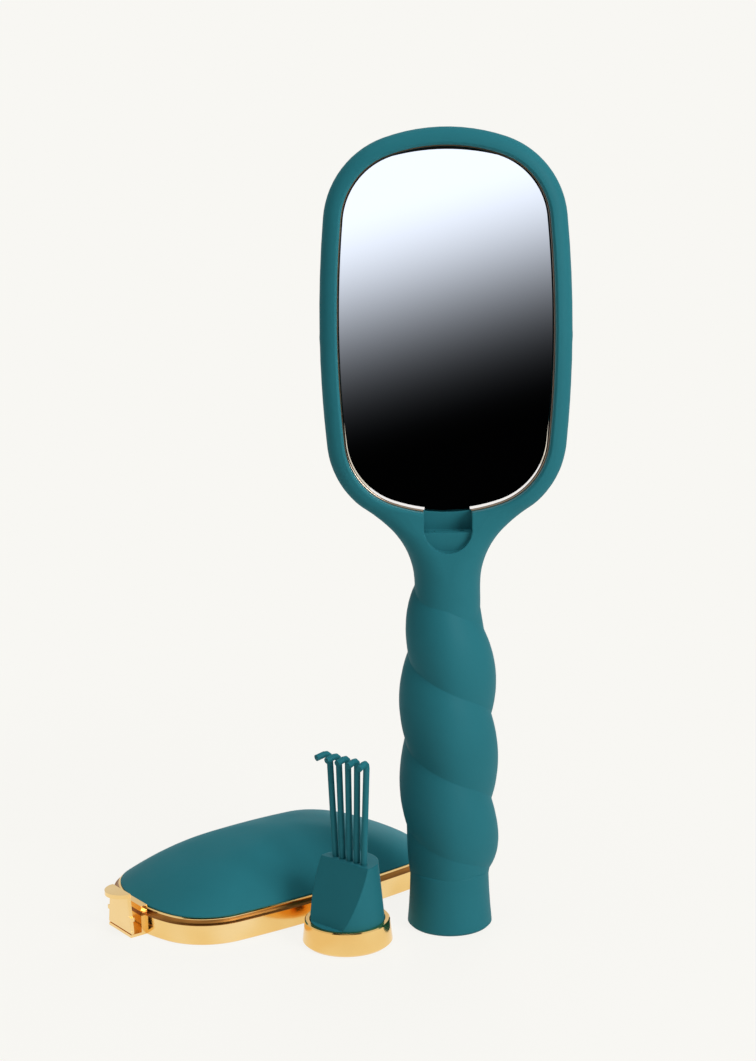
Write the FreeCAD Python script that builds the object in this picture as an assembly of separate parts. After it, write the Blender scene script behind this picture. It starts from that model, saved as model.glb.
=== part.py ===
import FreeCAD
import Part
import math
import os

# Grooming brush in millimetres, +Z up. The brush stands on the end of its grip, whose centre
# on the floor is the origin. The mirror faces -Y and the bristles face +Y. The back cover
# lies beside it and the comb rake stands on its own cap.

# Oval shared by the mirror opening, the frame round it and the cover that drops into it
TOTAL_HEIGHT = 249.7
OPENING_HALF_LENGTH = 55.3
OPENING_HALF_WIDTH = 32.9
OPENING_END_RADIUS = 51.3
OPENING_CORNER_RADIUS = 21.9
OPENING_SIDE_RADIUS = 352.0

# Frame and neck
FRAME_BORDER = 5.25
FRAME_HALF_DEPTH = 8.0
FRAME_EDGE_RADIUS = 4.5
OPENING_BEVEL = 0.6
NECK_RADIUS = 10.2
NECK_FILLET_RADIUS = 26.0
NECK_FLAT_WIDTH = 0.5
SHOULDER_BLEND_HEIGHT = 28.0
SHOULDER_SECTIONS = 25
CORE_SECTIONS = 5

# Twisted grip: two strands whose creases fall to the right across the front
GRIP_RADIUS = 15.35
CREASE_DEPTH = 2.1
GRIP_END_RADIUS = 13.5
GRIP_WAIST_RADIUS = 12.5
GRIP_END_EDGE = 0.7
PLAIN_END_HEIGHT = 24.0
WAIST_LEVEL_SHARE = 0.75
TWIST_MIDDLE_SHARE = 0.585
STRAND_SPACING_SHARE = 0.256
STRAND_EASE_SHARE = 0.0081
STRAND_SHEAR_SHARE = 0.41
TWIST_TOP_TURNS = 2.3
TWIST_END_TURNS = -2.1
TWIST_EASE_TURNS = 2.6
STRAND_STEPS_PER_TURN = 4
STRAND_RUN_OUT_TURNS = 1.5
STRAND_PLACE_SHARES = (-1, -1 / 3, 1 / 3, 1)
STRAND_DIE_SHARE = 0.33
FADE_START_SHARES = (0.62, 0.238)
FADE_END_SHARES = (1.035, 0.052)
FADE_POWER = 1.75

# Storage bore in the end of the grip, for the rake
RAKE_CLEARANCE = 0.3
BORE_RADIUS = 10.8
BORE_DEPTH = 58.0

# Mirror in the front recess
MIRROR_RECESS = 6.0
GLASS_THICKNESS = 1.7
BACKING_THICKNESS = 0.6
BEZEL_THICKNESS = 0.25
BEZEL_SHY = 3.4
GLASS_GAP = 0.4
GLASS_FAR_GAP = 1.25
GLASS_FAR_RADIUS = 66.0
GLASS_FAR_HALF_WIDTH = 20.0
BACKING_INSET = 0.5

# Latch pocket and thumb recess below the opening
POCKET_HALF_WIDTH = 7.4
POCKET_REACH = 5.6
POCKET_DEPTH = 6.0
THUMB_RECESS_SHY = 0.9
THUMB_RECESS_RISE = 1.3
CATCH_HALF_SPACING = 4.4
CATCH_WIDTH = 1.3
CATCH_DEPTH = 1.4
TAB_HALF_WIDTH = 6.0
TAB_REACH = 1.1
TAB_THICKNESS = 1.5
TAB_GAP = 0.3

# Bristle side
WEB_THICKNESS = 2.2
TRIM_INSET = 2.6
TRIM_WIDTH = 3.0
TRIM_THICKNESS = 2.6
TRIM_PROUD = 0.7
TRIM_BEVEL = 0.5
FLANGE_GAP = 0.3
CUSHION_CROWN = 3.4
CUSHION_DRAW = 0.7
CUSHION_SHOULDER = 3.4
TUFT_PITCH = 7.0
TUFT_ROW_PITCH = 6.6
TUFT_EDGE = 3.0
TUFT_ROOT_RADIUS = 1.25
TUFT_TIP_RADIUS = 1.75
TUFT_LENGTH = 15.5
TUFT_CROWN = 1.8
TUFT_SIDES = 6

# Back cover, lying on the floor
COVER_PLACE_X = -57.9
COVER_PLACE_Y = 30.9
COVER_TURN_DEGREES = 37.0
COVER_CLEARANCE = 0.25
RIM_WALL = 1.4
RIM_HEIGHT = 6.4
RIM_FOOT_BEVEL = 0.4
COVE_WIDTH = 1.5
COVE_HEIGHT = 1.3
BEAD_WIDTH = 0.7
BEAD_HEIGHT = 0.5
SEAT_WIDTH = 1.5
SEAT_THICKNESS = 1.4
DOME_HEIGHT = 14.3
DOME_SHELL = 1.7
DOME_EDGE = 0.35
DOME_FALL = 2.1
DOME_GRID = 13
DOME_REACH_SHARE = 1.06

# Sprung latch on the end of the cover
LATCH_HALF_WIDTH = 7.1
LATCH_TOP_HALF_WIDTH = 5.6
LATCH_SLOT = 2.7
LATCH_THICKNESS = 1.2
LATCH_HEIGHT = 13.9
LATCH_STRIP = 0.9
LATCH_PIVOT_GAP = 0.05
TONGUE_REACH = 4.2
TONGUE_THICKNESS = 1.3
NUB_REACH = 0.9
NUB_HEIGHT = 1.3
NUB_LEVEL = 5.4
LEG_THICKNESS = 0.9
LEG_HEIGHT = 9.6

# Comb rake standing on its cap
RAKE_PLACE_X = -32.65
RAKE_PLACE_Y = -14.15
RAKE_TURN_DEGREES = -42.0
CAP_FOOT_RADIUS = 14.15
CAP_TOP_RADIUS = 13.4
CAP_HEIGHT = 7.4
CAP_EDGE = 0.7
CAP_FLOOR = 1.3
CAP_LIP = 0.15
CONE_FOOT_RADIUS = 11.7
CONE_TOP_RADIUS = 10.0
CONE_TOP_HEIGHT = 25.8
CONE_FIT = 0.1
FACET_FOOT = 9.5
FACET_TOP = 0.9
TINE_COUNT = 5
TINE_RADIUS = 1.0
TINE_FOOT_PITCH = 3.0
TINE_TOP_PITCH = 3.9
TINE_TOP_HEIGHT = 60.0
TINE_SET_BACK = 1.5
TINE_ROOT_DEPTH = 5.0
HOOK_RADIUS = 1.7
HOOK_LENGTH = 3.0
HOOK_DROOP_DEGREES = 12.0
HOOK_FAN_DEGREES = 7.0
HOOK_BENDS = 3

# One overrun for every cut that passes through a face
OVERRUN = 2.0

# Widest seam that is closed when faces are joined
SEAM_TOLERANCE = 0.01

# Sweep whose corners are mitred
MITRED = 1

Vector = FreeCAD.Vector
Z_AXIS = Vector(0, 0, 1)
Y_AXIS = Vector(0, 1, 0)

# Places worked out from the sizes above
PADDLE_Z = TOTAL_HEIGHT - FRAME_BORDER - OPENING_HALF_LENGTH
END_CENTRE = OPENING_HALF_LENGTH - OPENING_END_RADIUS
SIDE_CENTRE = OPENING_HALF_WIDTH - OPENING_SIDE_RADIUS
FRONT_Y = -FRAME_HALF_DEPTH
GLASS_FRONT_Y = FRONT_Y + MIRROR_RECESS
GLASS_BACK_Y = GLASS_FRONT_Y + GLASS_THICKNESS
RECESS_FLOOR_Y = GLASS_BACK_Y + BACKING_THICKNESS
BACK_FLOOR_Y = RECESS_FLOOR_Y + WEB_THICKNESS
TRIM_SEAT_Y = FRAME_HALF_DEPTH + TRIM_PROUD - TRIM_THICKNESS
CUSHION_TOP_Y = FRAME_HALF_DEPTH + CUSHION_CROWN
RIM_GROW = -BEZEL_THICKNESS - COVER_CLEARANCE
BEAD_GROW = RIM_GROW - COVE_WIDTH
DOME_GROW = BEAD_GROW - BEAD_WIDTH
SEAT_LEVEL = RIM_HEIGHT + COVE_HEIGHT - BEAD_HEIGHT
BEAD_LEVEL = RIM_HEIGHT + COVE_HEIGHT + BEAD_HEIGHT
RIM_END = OPENING_HALF_LENGTH + RIM_GROW
LEG_OUTER = RIM_END + LEG_THICKNESS
PLATE_INNER = LEG_OUTER + LATCH_SLOT
PLATE_OUTER = PLATE_INNER + LATCH_THICKNESS
PIVOT_LEVEL = LATCH_STRIP + LATCH_PIVOT_GAP + LATCH_THICKNESS / 2


def corner_centre():
    """Centre of the corner arc that touches both the end arc and the side arc."""
    end_reach = OPENING_END_RADIUS - OPENING_CORNER_RADIUS
    side_reach = OPENING_SIDE_RADIUS - OPENING_CORNER_RADIUS
    span = math.hypot(END_CENTRE, SIDE_CENTRE)
    along = (end_reach ** 2 - side_reach ** 2 + span ** 2) / (2 * span)
    off = math.sqrt(end_reach ** 2 - along ** 2)
    to_side = Vector(-END_CENTRE, SIDE_CENTRE, 0) / span
    across = Vector(-to_side.y, to_side.x, 0)
    spot = Vector(END_CENTRE, 0, 0) + to_side * along + across * off
    return abs(spot.x), abs(spot.y)


CORNER_LONG, CORNER_WIDE = corner_centre()
END_ANGLE = math.atan2(CORNER_WIDE, CORNER_LONG - END_CENTRE)
SIDE_ANGLE = math.atan2(CORNER_WIDE - SIDE_CENTRE, CORNER_LONG)

# Fillet from the oval frame into the neck, and the height where the neck is straight
FRAME_END_RADIUS = OPENING_END_RADIUS + FRAME_BORDER
FILLET_X = NECK_RADIUS + NECK_FILLET_RADIUS
FILLET_SPAN = FRAME_END_RADIUS + NECK_FILLET_RADIUS
NECK_Z = PADDLE_Z - END_CENTRE - math.sqrt(FILLET_SPAN ** 2 - FILLET_X ** 2)
FILLET_TANGENT_Z = NECK_Z + (PADDLE_Z - END_CENTRE - NECK_Z) * NECK_FILLET_RADIUS / FILLET_SPAN


def arc(start, middle, end):
    return Part.Arc(start, middle, end).toShape()


def polygon_face(points):
    return Part.Face(Part.makePolygon(points + points[:1]))


def box(low, high):
    size = high - low
    return Part.makeBox(size.x, size.y, size.z, low)


def paddle_plane(depth):
    return lambda along, across: Vector(across, depth, PADDLE_Z + along)


def cover_plane(level):
    return lambda along, across: Vector(along, across, level)


def oval_wire(grow, plane):
    """Closed oval of eight tangent arcs, grown outwards from the mirror opening."""

    def spot(centre_long, centre_wide, radius, angle, flip_long, flip_wide):
        along = centre_long + radius * math.cos(angle)
        across = centre_wide + radius * math.sin(angle)
        return plane(flip_long * along, flip_wide * across)

    def piece(centre_long, centre_wide, radius, first, last, flips):
        angles = (first, (first + last) / 2, last)
        return arc(*[spot(centre_long, centre_wide, radius, angle, *flips) for angle in angles])

    end_radius = OPENING_END_RADIUS + grow
    corner_radius = OPENING_CORNER_RADIUS + grow
    side_radius = OPENING_SIDE_RADIUS + grow
    corner = (CORNER_LONG, CORNER_WIDE, corner_radius)
    edges = [
        piece(END_CENTRE, 0, end_radius, -END_ANGLE, END_ANGLE, (1, 1)),
        piece(*corner, END_ANGLE, SIDE_ANGLE, (1, 1)),
        piece(0, SIDE_CENTRE, side_radius, SIDE_ANGLE, math.pi - SIDE_ANGLE, (1, 1)),
        piece(*corner, SIDE_ANGLE, END_ANGLE, (-1, 1)),
        piece(END_CENTRE, 0, end_radius, END_ANGLE, -END_ANGLE, (-1, 1)),
        piece(*corner, END_ANGLE, SIDE_ANGLE, (-1, -1)),
        piece(0, SIDE_CENTRE, side_radius, math.pi - SIDE_ANGLE, SIDE_ANGLE, (1, -1)),
        piece(*corner, SIDE_ANGLE, END_ANGLE, (1, -1)),
    ]
    return Part.Wire(edges)


def oval_stack(steps, plane_at):
    """Solid through ovals, each step giving how far it is grown and its level."""
    return Part.makeLoft([oval_wire(grow, plane_at(level)) for grow, level in steps], True, True)


def oval_prism(grow, first, last, plane_at):
    """Straight solid from one level to another with the same oval all the way."""
    way = plane_at(last)(0, 0) - plane_at(first)(0, 0)
    return Part.Face(oval_wire(grow, plane_at(first))).extrude(way)


def frame_half_width(height):
    """Half width of the frame or neck at a height, and how squarely its edge faces sideways."""
    drop = PADDLE_Z - height
    end_radius = FRAME_END_RADIUS
    corner_radius = OPENING_CORNER_RADIUS + FRAME_BORDER
    side_radius = OPENING_SIDE_RADIUS + FRAME_BORDER
    if drop <= side_radius * math.cos(SIDE_ANGLE):
        rise = math.sqrt(side_radius ** 2 - drop ** 2)
        return SIDE_CENTRE + rise, rise / side_radius
    if drop <= CORNER_LONG + corner_radius * math.cos(END_ANGLE):
        rise = math.sqrt(corner_radius ** 2 - (drop - CORNER_LONG) ** 2)
        return CORNER_WIDE + rise, rise / corner_radius
    if height >= FILLET_TANGENT_Z:
        rise = math.sqrt(end_radius ** 2 - (drop - END_CENTRE) ** 2)
        return rise, rise / end_radius
    rise = math.sqrt(NECK_FILLET_RADIUS ** 2 - (height - NECK_Z) ** 2)
    return FILLET_X - rise, rise / NECK_FILLET_RADIUS


def quarter_ellipse(start, corner, end):
    curve = Part.BezierCurve()
    curve.setPoles([start, corner, end])
    curve.setWeight(2, math.sqrt(0.5))
    return curve.toShape()


def slab_section(height, half_width, half_depth, round_width, round_depth):
    """Rounded slab outline at a height: four flats joined by quarter ellipses."""
    flat_x = half_width - round_width
    flat_y = half_depth - round_depth

    def at(across, depth):
        return Vector(across, depth, height)

    edges = []
    for turn_x, turn_y in ((1, -1), (1, 1), (-1, 1), (-1, -1)):
        side = at(turn_x * half_width, turn_y * flat_y)
        face = at(turn_x * flat_x, turn_y * half_depth)
        corner = at(turn_x * half_width, turn_y * half_depth)
        if turn_x * turn_y < 0:
            edges.append(quarter_ellipse(face, corner, side))
            edges.append(Part.makeLine(side, at(turn_x * half_width, -turn_y * flat_y)))
        else:
            edges.append(quarter_ellipse(side, corner, face))
            edges.append(Part.makeLine(face, at(-turn_x * flat_x, turn_y * half_depth)))
    return Part.Wire(edges)


def sewn_solid(faces):
    skin = Part.makeCompound(faces)
    skin.sewShape(SEAM_TOLERANCE)
    return Part.makeSolid(skin)


def smooth_curve(points):
    """Curve through points, evenly timed so that neighbouring faces share their edges."""
    curve = Part.BSplineCurve()
    last = len(points) - 1
    curve.interpolate(Points=list(points), Parameters=[place / last for place in range(len(points))])
    return curve


def smooth_sheet(rows):
    """Smooth face through a grid of points."""
    along = [smooth_curve(column) for column in zip(*rows)]
    across = [smooth_curve(poles) for poles in zip(*[curve.getPoles() for curve in along])]
    surface = Part.BSplineSurface()
    surface.buildFromPolesMultsKnots(
        [curve.getPoles() for curve in across],
        along[0].getMultiplicities(),
        across[0].getMultiplicities(),
        along[0].getKnots(),
        across[0].getKnots(),
        False,
        False,
        along[0].Degree,
        across[0].Degree,
    )
    return surface.toShape()


def smooth_step(share):
    share = min(max(share, 0), 1)
    return share * share * (3 - 2 * share)


def shoulder_sections():
    """Outlines from the middle of the paddle down through the shoulders into the grip's core."""
    shoulder_top = NECK_Z + SHOULDER_BLEND_HEIGHT
    spacing = (PADDLE_Z - NECK_Z) / (SHOULDER_SECTIONS - 1)
    sections = []
    for step in range(SHOULDER_SECTIONS + CORE_SECTIONS):
        height = PADDLE_Z - spacing * step
        half_width, facing = frame_half_width(max(height, NECK_Z))
        blend = smooth_step((shoulder_top - height) / SHOULDER_BLEND_HEIGHT)
        half_depth = FRAME_HALF_DEPTH + (NECK_RADIUS - FRAME_HALF_DEPTH) * blend
        neck_round = NECK_RADIUS - NECK_FLAT_WIDTH / 2
        edge = FRAME_EDGE_RADIUS + (neck_round - FRAME_EDGE_RADIUS) * blend
        round_width = min(edge / facing, half_width - NECK_FLAT_WIDTH / 2)
        sections.append(slab_section(height, half_width, half_depth, round_width, edge))
    return sections


def make_paddle_blank():
    """Rounded paddle with its shoulders and neck, before anything is cut into it."""
    oval = Part.Face(oval_wire(FRAME_BORDER, paddle_plane(FRONT_Y)))
    plate = oval.extrude(Y_AXIS * (2 * FRAME_HALF_DEPTH))
    rims = [edge for edge in plate.Edges if abs(edge.CenterOfMass.y) > FRAME_HALF_DEPTH / 2]
    rounded = plate.makeFillet(FRAME_EDGE_RADIUS, rims)
    reach = OPENING_HALF_LENGTH + FRAME_BORDER + OVERRUN
    low = Vector(-reach, -reach, PADDLE_Z)
    upper = rounded.common(box(low, Vector(reach, reach, PADDLE_Z + reach)))
    lower = Part.makeLoft(shoulder_sections(), True, False)
    return upper.fuse(lower)


def twist_height(turn):
    """Height of a crease that has turned this many half turns from the twist's middle."""
    held = min(max(turn, -TWIST_EASE_TURNS), TWIST_EASE_TURNS)
    ease = STRAND_EASE_SHARE * held ** 2 * (3 * turn - 2 * held)
    return NECK_Z * (TWIST_MIDDLE_SHARE + STRAND_SPACING_SHARE * turn - ease)


def sheared_angle(phase):
    """True angle round the grip for an even phase: creases lie flatter across the front."""
    angle = phase
    for _ in range(40):
        angle = phase + STRAND_SHEAR_SHARE * math.sin(angle)
    return angle


def crest_radius(height):
    """Radius of a strand's crest, easing into the neck above and the plain end below."""
    above = (height / NECK_Z - FADE_START_SHARES[0]) / (FADE_END_SHARES[0] - FADE_START_SHARES[0])
    below = (height / NECK_Z - FADE_START_SHARES[1]) / (FADE_END_SHARES[1] - FADE_START_SHARES[1])
    neck_drop = GRIP_RADIUS - NECK_RADIUS
    end_drop = GRIP_RADIUS - GRIP_WAIST_RADIUS + GRIP_END_EDGE
    return GRIP_RADIUS - neck_drop * max(above, 0) ** FADE_POWER - end_drop * max(below, 0) ** FADE_POWER


def strand_swell(turn, strand):
    """Share of a full strand's swell: each strand dies away into the plain ends."""
    start = 2 - STRAND_DIE_SHARE if strand else 1
    return 1 - smooth_step((abs(turn) - start) / STRAND_DIE_SHARE)


def strand_point(turn, aside, strand):
    """Point on one swelling strand, from its crease at -1 over its crest to its crease at 1."""
    height = twist_height(turn)
    angle = sheared_angle(math.pi * (strand - turn + aside / 2))
    swell = CREASE_DEPTH * strand_swell(turn, strand) * (1 - aside ** 2)
    radius = crest_radius(height) - CREASE_DEPTH + swell
    return Vector(radius * math.sin(angle), -radius * math.cos(angle), height)


def strand_face(strand):
    """Outer face of one strand, which runs on past both ends of the twist."""
    highest = math.ceil((TWIST_TOP_TURNS + STRAND_RUN_OUT_TURNS) * STRAND_STEPS_PER_TURN)
    lowest = math.floor((TWIST_END_TURNS - STRAND_RUN_OUT_TURNS) * STRAND_STEPS_PER_TURN)
    rows = []
    for step in range(lowest, highest + 1):
        middle = step / STRAND_STEPS_PER_TURN
        rows.append([strand_point(middle + aside / 2, aside, strand) for aside in STRAND_PLACE_SHARES])
    return smooth_sheet(rows)


def make_twist():
    """Two strands that meet in creases, cut off level at both ends."""
    foot = twist_height(TWIST_END_TURNS)
    head = twist_height(TWIST_TOP_TURNS)
    reach = 2 * GRIP_RADIUS
    span = box(Vector(-reach, -reach, foot), Vector(reach, reach, head))
    front, back = [strand_face(strand).common(span) for strand in (0, 1)]
    sides = front.generalFuse([back], SEAM_TOLERANCE)[0]
    rims = Part.sortEdges([edge for edge in sides.Edges if edge.BoundBox.ZLength < SEAM_TOLERANCE])
    ends = [Part.Face(Part.Wire(rim)) for rim in rims]
    return sewn_solid(sides.Faces + ends)


def make_grip_end():
    """Plain flared end of the grip that the brush stands on."""
    waist_level = PLAIN_END_HEIGHT * WAIST_LEVEL_SHARE
    foot = Vector(GRIP_END_RADIUS, 0, GRIP_END_EDGE)
    waist = Vector(GRIP_WAIST_RADIUS, 0, waist_level)
    between = Vector((GRIP_END_RADIUS + 2 * GRIP_WAIST_RADIUS) / 3, 0, waist_level / 2)
    rest = Part.makePolygon(
        [
            waist,
            Vector(GRIP_WAIST_RADIUS - 2 * CREASE_DEPTH, 0, PLAIN_END_HEIGHT),
            Vector(0, 0, PLAIN_END_HEIGHT),
            Vector(0, 0, 0),
            Vector(GRIP_END_RADIUS - GRIP_END_EDGE, 0, 0),
            foot,
        ]
    )
    profile = Part.Wire([arc(foot, between, waist)] + rest.Edges)
    return Part.Face(profile).revolve(Vector(0, 0, 0), Z_AXIS, 360)


def make_storage_bore():
    """Tapered mouth that takes the rake's cone, then a plain bore for its tines."""
    cone_length = CONE_TOP_HEIGHT - CAP_HEIGHT
    mouth = CONE_FOOT_RADIUS + RAKE_CLEARANCE
    slope = (mouth - BORE_RADIUS) / cone_length
    below = Vector(mouth + slope * OVERRUN, 0, -OVERRUN)
    points = [
        Vector(0, 0, -OVERRUN),
        below,
        Vector(BORE_RADIUS, 0, cone_length),
        Vector(BORE_RADIUS, 0, BORE_DEPTH),
        Vector(0, 0, BORE_DEPTH),
    ]
    return polygon_face(points).revolve(Vector(0, 0, 0), Z_AXIS, 360)


def make_latch_pocket():
    """Square pocket for the latch, its two catch holes and the thumb recess below it."""
    mouth_z = PADDLE_Z - OPENING_HALF_LENGTH
    floor_z = mouth_z - POCKET_REACH
    shelf_y = FRONT_Y + POCKET_DEPTH
    half = POCKET_HALF_WIDTH
    pocket = box(
        Vector(-half, FRONT_Y - OVERRUN - NECK_RADIUS, floor_z), Vector(half, shelf_y, mouth_z + OVERRUN)
    )
    middle_z = floor_z + THUMB_RECESS_RISE
    recess = Part.makeCylinder(half, NECK_RADIUS + OVERRUN, Vector(0, 0, middle_z), -Y_AXIS)
    recess.translate(-Y_AXIS * (FRAME_HALF_DEPTH - THUMB_RECESS_SHY))
    cuts = [pocket, recess]
    catch_top = shelf_y - CATCH_WIDTH
    for side in (-1, 1):
        middle = side * CATCH_HALF_SPACING
        low = Vector(middle - CATCH_WIDTH / 2, catch_top - CATCH_WIDTH, floor_z - CATCH_DEPTH)
        cuts.append(box(low, Vector(middle + CATCH_WIDTH / 2, catch_top, floor_z + OVERRUN)))
    return cuts


def make_tab_slot():
    """Slot at the far end of the recess for the tab on the cover's rim."""
    half = TAB_HALF_WIDTH + TAB_GAP
    end = PADDLE_Z + OPENING_HALF_LENGTH
    low = Vector(-half, GLASS_FRONT_Y - TAB_GAP - TAB_THICKNESS, end - OVERRUN)
    return box(low, Vector(half, GLASS_FRONT_Y, end + TAB_REACH + TAB_GAP))


def make_handle_body():
    """One moulding: frame, neck and twisted grip, with its recesses and bore."""
    paddle = make_paddle_blank()
    bevel_foot = (-OVERRUN, FRONT_Y + OPENING_BEVEL + OVERRUN)
    bevel_head = (OPENING_BEVEL + OVERRUN, FRONT_Y - OVERRUN)
    cuts = [
        oval_prism(0, RECESS_FLOOR_Y, FRONT_Y - OVERRUN, paddle_plane),
        oval_stack([bevel_foot, bevel_head], paddle_plane),
        oval_prism(-TRIM_INSET, BACK_FLOOR_Y, FRAME_HALF_DEPTH + OVERRUN, paddle_plane),
        make_tab_slot(),
    ]
    for cut in cuts + make_latch_pocket():
        paddle = paddle.cut(cut)
    grip = make_twist().fuse(make_grip_end()).cut(make_storage_bore())
    return paddle.fuse(grip).removeSplitter()


def make_mirror_backing():
    return oval_prism(-BACKING_INSET, GLASS_BACK_Y, RECESS_FLOOR_Y, paddle_plane)


def make_mirror_glass():
    """Glass cut flatter at its far end, which leaves a slit there for the cover's tab."""
    grow = -BEZEL_THICKNESS - GLASS_GAP
    plate = oval_prism(grow, GLASS_FRONT_Y, GLASS_BACK_Y, paddle_plane)
    far_end = PADDLE_Z + OPENING_HALF_LENGTH
    start_y = GLASS_FRONT_Y - OVERRUN
    middle = Vector(0, start_y, far_end - GLASS_FAR_GAP - GLASS_FAR_RADIUS)
    kept = Part.makeCylinder(GLASS_FAR_RADIUS, GLASS_THICKNESS + 2 * OVERRUN, middle, Y_AXIS)
    low = Vector(-OPENING_HALF_WIDTH, start_y, PADDLE_Z)
    return plate.cut(box(low, Vector(OPENING_HALF_WIDTH, GLASS_BACK_Y + OVERRUN, far_end)).cut(kept))


def make_mirror_bezel():
    """Plated strip that lines the recess round the glass, open at the latch and low at the far end."""
    levels = (FRONT_Y + BEZEL_SHY, RECESS_FLOOR_Y)
    outer = oval_prism(0, *levels, paddle_plane)
    inner = oval_prism(-BEZEL_THICKNESS, *levels, paddle_plane)
    mouth_z = PADDLE_Z - OPENING_HALF_LENGTH
    gap = box(
        Vector(-POCKET_HALF_WIDTH, FRONT_Y, mouth_z - OVERRUN),
        Vector(POCKET_HALF_WIDTH, RECESS_FLOOR_Y + OVERRUN, PADDLE_Z),
    )
    far_gap = box(
        Vector(-GLASS_FAR_HALF_WIDTH, FRONT_Y, PADDLE_Z),
        Vector(GLASS_FAR_HALF_WIDTH, GLASS_BACK_Y, PADDLE_Z + OPENING_HALF_LENGTH + OVERRUN),
    )
    return outer.cut([inner, gap, far_gap])


def make_trim_ring():
    """Plated ring that clamps the cushion's flange into the bristle side."""
    outer_grow = -TRIM_INSET
    inner_grow = outer_grow - TRIM_WIDTH
    top = FRAME_HALF_DEPTH + TRIM_PROUD
    steps = [(outer_grow, TRIM_SEAT_Y), (outer_grow, top - TRIM_BEVEL), (outer_grow - TRIM_BEVEL, top)]
    ring = oval_stack(steps, paddle_plane)
    return ring.cut(oval_prism(inner_grow, TRIM_SEAT_Y - OVERRUN, top + OVERRUN, paddle_plane))


def make_cushion():
    """Rubber pad: a flange under the trim ring and a drawn-in, crowned pillow through it."""
    flange_grow = -TRIM_INSET - FLANGE_GAP
    flange = oval_prism(flange_grow, BACK_FLOOR_Y, TRIM_SEAT_Y, paddle_plane)
    wall = -TRIM_INSET - TRIM_WIDTH - FLANGE_GAP
    crown_start = FRAME_HALF_DEPTH + TRIM_PROUD
    rise = CUSHION_TOP_Y - crown_start
    steps = [(wall, BACK_FLOOR_Y), (wall - CUSHION_DRAW, FRAME_HALF_DEPTH), (wall, crown_start)]
    for quarter in range(1, 5):
        angle = math.pi / 2 * quarter / 4
        inward = CUSHION_SHOULDER * (1 - math.cos(angle))
        steps.append((wall - inward, crown_start + rise * math.sin(angle)))
    return flange.fuse(oval_stack(steps, paddle_plane)).removeSplitter()


def field_half_width(along, grow):
    """Half width of the tuft field at a distance from the middle of the paddle."""
    along = abs(along)
    if along > OPENING_HALF_LENGTH + grow:
        return -1
    corner_radius = OPENING_CORNER_RADIUS + grow
    if along <= CORNER_LONG:
        return CORNER_WIDE + corner_radius
    if along <= CORNER_LONG + corner_radius * math.cos(END_ANGLE):
        return CORNER_WIDE + math.sqrt(corner_radius ** 2 - (along - CORNER_LONG) ** 2)
    return math.sqrt((OPENING_END_RADIUS + grow) ** 2 - (along - END_CENTRE) ** 2)


def tuft(across, along, length):
    """One tuft as a faceted bundle that spreads from its root to its tip."""

    def ring(radius, depth):
        spots = []
        for side in range(TUFT_SIDES):
            angle = 2 * math.pi * side / TUFT_SIDES
            height = PADDLE_Z + along + radius * math.sin(angle)
            spots.append(Vector(across + radius * math.cos(angle), depth, height))
        return spots

    root = ring(TUFT_ROOT_RADIUS, CUSHION_TOP_Y)
    tip = ring(TUFT_TIP_RADIUS, CUSHION_TOP_Y + length)
    faces = [polygon_face(root), polygon_face(tip)]
    for side in range(TUFT_SIDES):
        faces.append(polygon_face([root[side - 1], root[side], tip[side], tip[side - 1]]))
    return sewn_solid(faces)


def make_tufts():
    """Staggered rows of boar tufts, a little longer in the middle of the pad."""
    grow = -TRIM_INSET - TRIM_WIDTH - FLANGE_GAP - CUSHION_SHOULDER - TUFT_EDGE
    rows = int((OPENING_HALF_LENGTH + grow) / TUFT_ROW_PITCH)
    tufts = []
    for row in range(-rows, rows + 1):
        along = row * TUFT_ROW_PITCH
        half_width = field_half_width(along, grow)
        shift = (row % 2) / 2
        columns = int(half_width / TUFT_PITCH) + 1
        for column in range(-columns, columns + 1):
            across = (column + shift) * TUFT_PITCH
            if abs(across) <= half_width:
                far = math.hypot(along / OPENING_HALF_LENGTH, across / OPENING_HALF_WIDTH)
                tufts.append(tuft(across, along, TUFT_LENGTH + TUFT_CROWN * (1 - far)))
    return Part.makeCompound(tufts)


def place_cover(shape):
    shape.rotate(Vector(0, 0, 0), Z_AXIS, COVER_TURN_DEGREES)
    shape.translate(Vector(COVER_PLACE_X, COVER_PLACE_Y, 0))
    return shape


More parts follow.
